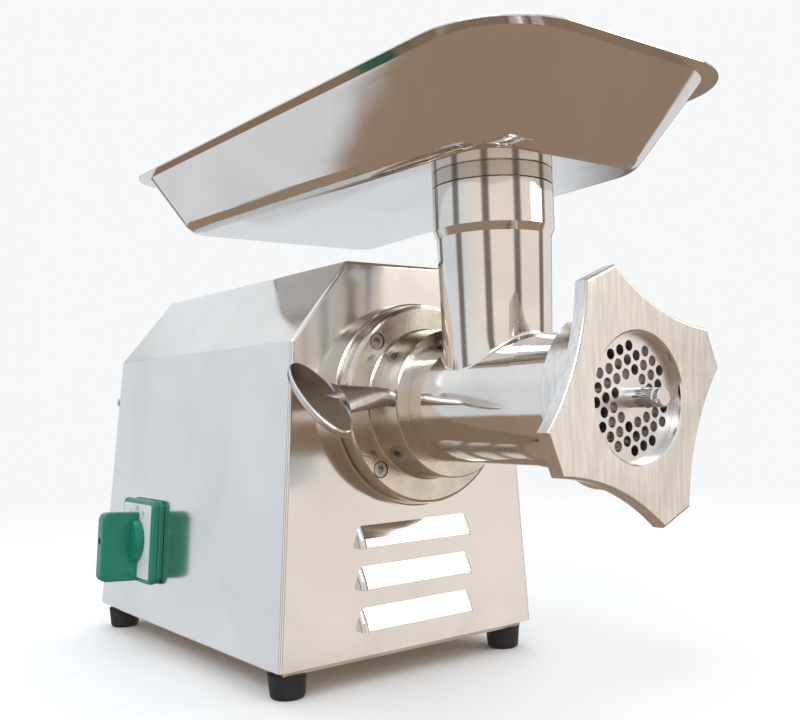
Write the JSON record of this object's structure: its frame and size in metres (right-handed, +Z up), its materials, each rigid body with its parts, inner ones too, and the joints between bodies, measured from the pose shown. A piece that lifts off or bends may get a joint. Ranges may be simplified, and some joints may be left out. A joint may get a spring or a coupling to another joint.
{
  "type": "meat grinder",
  "caption": "Bench-top electric meat grinder: folded steel housing with motor and gears, screw-fed head with ring nut and hole plate, feed tray on top.",
  "frame": {"origin": "on the surface that the feet stand on, at the centre of the bottom of the whole part's box", "axes": "+Z up, -Y the front where the mince comes out, +X to the right of a person looking along +Y"},
  "size_m": [0.2594, 0.542, 0.378],
  "materials": {
    "panel_steel": "mirror polished",
    "pan_steel": "satin",
    "tray_steel": "mirror polished",
    "neck_steel": "polished",
    "head_steel": "polished casting",
    "nut_steel": "polished casting",
    "plate_steel": "ground",
    "auger_steel": "polished",
    "wing_steel": "satin casting",
    "ring_steel": "turned",
    "flange_steel": "polished casting with a fine grain",
    "screw_steel": "plain",
    "grub_steel": "dark",
    "rubber": "satin",
    "seal_rubber": "matte",
    "nylon": "matte",
    "cast_aluminium": "cast",
    "gear_steel": "machined",
    "bearing_steel": "ground",
    "painted_motor": "satin paint",
    "lamination": "dull",
    "copper": "varnished",
    "fan_plastic": "matte",
    "bracket_steel": "zinc plated",
    "capacitor_plastic": "matte",
    "terminal_plastic": "matte",
    "switch_green": "gloss",
    "knob_green": "gloss",
    "label_white": "satin"
  },
  "bodies": {
    "machine": {"base_pan": "pan_steel", "base_screws": "screw_steel", "capacitor_clip": "bracket_steel", "cord_gland": "terminal_plastic", "fan_cover": "painted_motor", "flange_hub": "flange_steel", "flange_screws": "screw_steel", "foot_front_left": "rubber", "foot_front_right": "rubber", "foot_nuts": "screw_steel", "foot_rear_left": "rubber", "foot_rear_right": "rubber", "gear_case": "cast_aluminium", "gear_cover": "cast_aluminium", "gear_cover_screws": "screw_steel", "gland_nut": "terminal_plastic", "housing": "panel_steel", "hub_grub_screws": "grub_steel", "label_plate": "label_white", "middle_bearings": "bearing_steel", "motor_bearings": "bearing_steel", "motor_bell_front": "cast_aluminium", "motor_bell_rear": "cast_aluminium", "motor_bracket": "bracket_steel", "motor_casing": "painted_motor", "motor_tie_bolts": "screw_steel", "oil_seal": "seal_rubber", "output_bearing_front": "bearing_steel", "output_bearing_rear": "bearing_steel", "rear_panel": "panel_steel", "rear_screws": "screw_steel", "run_capacitor": "capacitor_plastic", "spacer_ring": "ring_steel", "stator_core": "lamination", "stator_windings": "copper", "switch_body": "terminal_plastic", "switch_frame": "switch_green", "terminal_block": "terminal_plastic"},
    "output_drive": {"output_shaft": "gear_steel", "output_gear": "gear_steel"},
    "middle_drive": {"middle_shaft": "gear_steel", "middle_gear": "gear_steel", "middle_pinion": "gear_steel"},
    "motor_drive": {"motor_shaft": "gear_steel", "rotor_core": "lamination", "motor_pinion": "gear_steel", "cooling_fan": "fan_plastic"},
    "knob": {"switch_knob": "knob_green", "switch_spindle": "terminal_plastic", "knob_screw": "screw_steel"},
    "wing": {"wing_bolt": "wing_steel"},
    "head": {"head_casting": "head_steel", "plate_key": "screw_steel", "thrust_washer": "nylon"},
    "feed_screw": {"auger": "auger_steel", "cross_knife": "plate_steel"},
    "plate": {"hole_plate": "plate_steel"},
    "nut": {"ring_nut": "nut_steel"},
    "feed_tray": {"tray": "tray_steel", "tray_neck": "neck_steel"}
  },
  "joints": [
    {"name": "output_spin", "type": "hinge", "parent": "machine", "child": "output_drive", "pos_m": [0.01543, -0.05318, 0.187], "axis": [0, -1, 0], "continuous": true},
    {"name": "middle_spin", "type": "hinge", "parent": "machine", "child": "middle_drive", "pos_m": [0.01543, -0.05318, 0.126], "axis": [0, -1, 0], "continuous": true},
    {"name": "motor_spin", "type": "hinge", "parent": "machine", "child": "motor_drive", "pos_m": [0.01543, -0.05318, 0.0835], "axis": [0, -1, 0], "continuous": true},
    {"name": "switch_turn", "type": "hinge", "parent": "machine", "child": "knob", "pos_m": [-0.09756, 0.17032, 0.08352], "axis": [-0.9976, 0, 0.0696], "range_deg": [-30, 30]},
    {"name": "wing_turn", "type": "hinge", "parent": "machine", "child": "wing", "pos_m": [-0.04457, -0.09068, 0.192], "axis": [-1, 0, 0], "range_deg": [0, 720]},
    {"name": "head_slide", "type": "slide", "parent": "machine", "child": "head", "axis": [0, -1, 0], "range_m": [0, 0.07]},
    {"name": "auger_spin", "type": "hinge", "parent": "head", "child": "feed_screw", "pos_m": [0.01543, -0.05318, 0.187], "axis": [0, -1, 0], "continuous": true},
    {"name": "plate_slide", "type": "slide", "parent": "head", "child": "plate", "axis": [0, -1, 0], "range_m": [0, 0.0121]},
    {"name": "nut_turn", "type": "hinge", "parent": "plate", "child": "nut", "pos_m": [0.01543, -0.05318, 0.187], "axis": [0, -1, 0], "range_deg": [0, 1080]},
    {"name": "tray_lift", "type": "slide", "parent": "head", "child": "feed_tray", "axis": [0, 0, 1], "range_m": [0, 0.06]}
  ],
  "couplings": [
    {"joint": "middle_spin", "follows": "output_spin", "ratio": -2.5882},
    {"joint": "motor_spin", "follows": "output_spin", "ratio": 7.7647},
    {"joint": "auger_spin", "follows": "output_spin", "ratio": 1},
    {"joint": "plate_slide", "follows": "nut_turn", "m_per_rad": 0.00063662}
  ]
}
